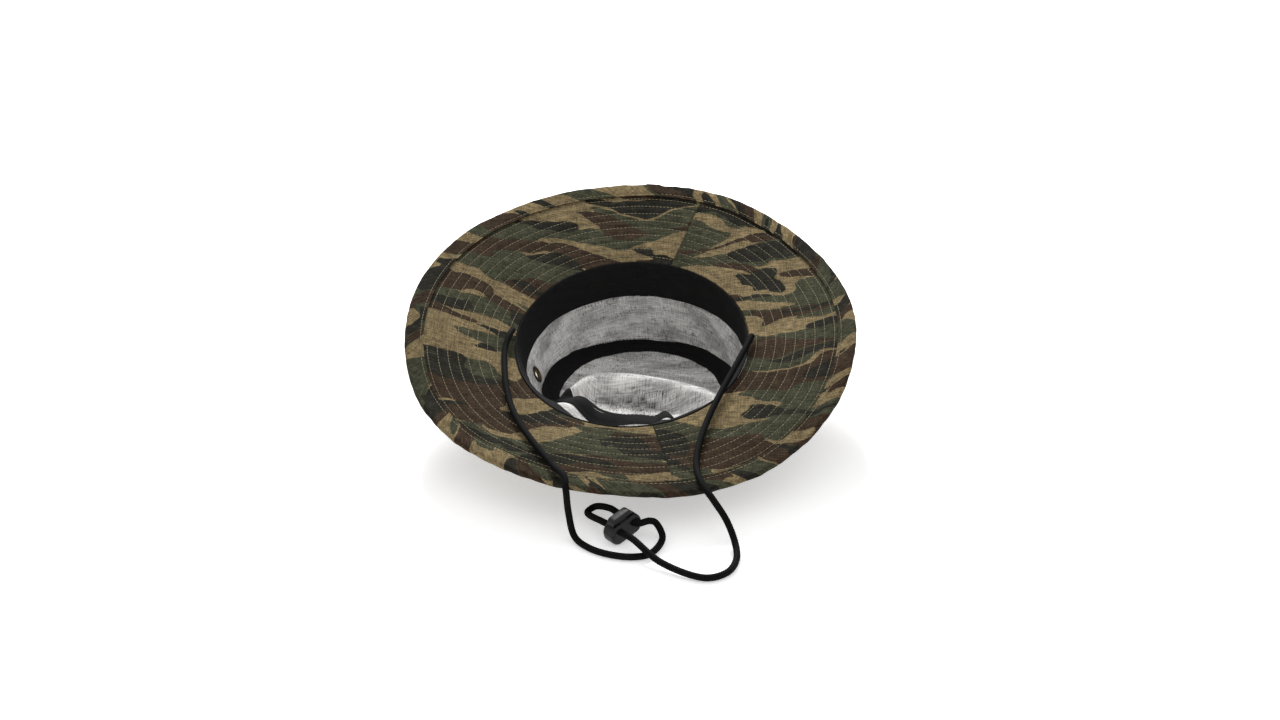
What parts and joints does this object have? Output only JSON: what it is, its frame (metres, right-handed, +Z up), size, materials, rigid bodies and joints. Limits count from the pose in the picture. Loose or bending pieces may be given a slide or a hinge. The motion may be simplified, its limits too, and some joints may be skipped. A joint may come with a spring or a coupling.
{
  "type": "boonie hat",
  "caption": "Soft wide-brimmed camouflage sun hat lying crown down, with a quilted brim, sweatband, vent eyelets and a chin cord with a spring cord lock.",
  "frame": {"origin": "on the floor under the middle of the brim's outline, with the hat resting upside down on its crown top", "axes": "+Z up, from the crown top to the open side; -Y towards the front of the hat; -X towards the wearer's left"},
  "size_m": [0.3267, 0.3966, 0.121],
  "materials": {
    "camouflage_cotton": "matte woven cotton printed in tan, green, brown and black; unprinted light grey on its reverse",
    "brim_stiffener": "matte non-woven interlining",
    "black_twill": "matte black twill",
    "antique_brass": "darkened brass, lightly worn",
    "black_plastic": "moulded black plastic, satin",
    "spring_steel": "bright spring wire",
    "black_braid": "matte black braided polyester cord"
  },
  "bodies": {
    "hat": {"brim_inner_ply_left": "camouflage_cotton", "brim_inner_ply_right": "camouflage_cotton", "brim_outer_ply_left": "camouflage_cotton", "brim_outer_ply_right": "camouflage_cotton", "brim_interlining": "brim_stiffener", "brim_edge_binding": "camouflage_cotton", "crown_side_panel": "camouflage_cotton", "crown_top_panel": "camouflage_cotton", "foliage_loop_band": "camouflage_cotton", "crown_seam_tape": "black_twill", "sweatband": "black_twill", "vent_eyelet_left_rear": "antique_brass", "vent_eyelet_left_front": "antique_brass", "vent_eyelet_right_rear": "antique_brass", "vent_eyelet_right_front": "antique_brass", "vent_washer_left_rear": "antique_brass", "vent_washer_left_front": "antique_brass", "vent_washer_right_rear": "antique_brass", "vent_washer_right_front": "antique_brass", "chin_cord": "black_braid"},
    "cord_lock": {"cord_lock_body": "black_plastic", "cord_lock_spring": "spring_steel"},
    "lock_button": {"cord_lock_button": "black_plastic"}
  },
  "joints": [
    {"name": "cord_lock_slide", "type": "slide", "parent": "hat", "child": "cord_lock", "axis": [0.7071, -0.7071, 0], "range_m": [-0.002, 0]},
    {"name": "button_press", "type": "slide", "parent": "cord_lock", "child": "lock_button", "axis": [0.1949, 0.1949, -0.9613], "range_m": [0, 0.0025], "stiffness_N_per_m": 500, "springref_m": -0.002, "deforming": ["cord_lock_spring"]}
  ]
}
